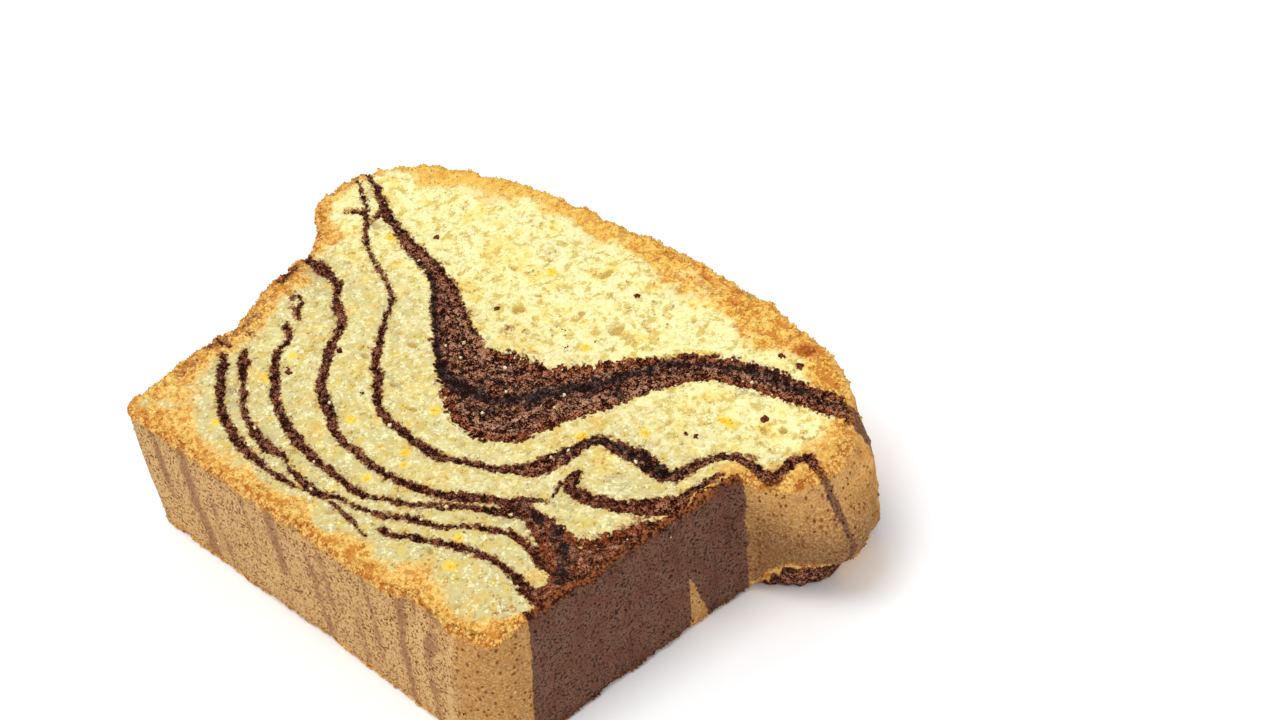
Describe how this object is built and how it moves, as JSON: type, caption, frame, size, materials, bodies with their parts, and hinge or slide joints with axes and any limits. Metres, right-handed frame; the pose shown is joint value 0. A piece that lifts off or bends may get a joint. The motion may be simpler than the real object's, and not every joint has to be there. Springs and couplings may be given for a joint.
{
  "type": "marble loaf cake slice",
  "caption": "Thick slice of marbled loaf cake with a flat base, flared sides and an overhanging craggy domed top, lying on one cut face.",
  "frame": {"origin": "middle of the slice's footprint, on the cut face it rests on", "axes": "+X across the loaf, +Y from the loaf's base to its dome, +Z through the slice towards the shown cut face"},
  "size_m": [0.1246, 0.087, 0.0274],
  "materials": {
    "cake": "matte open crumb, pale yellow with cocoa ribbons and a golden brown crust"
  },
  "bodies": {
    "root": {"cake_slice": "cake"}
  },
  "joints": []
}
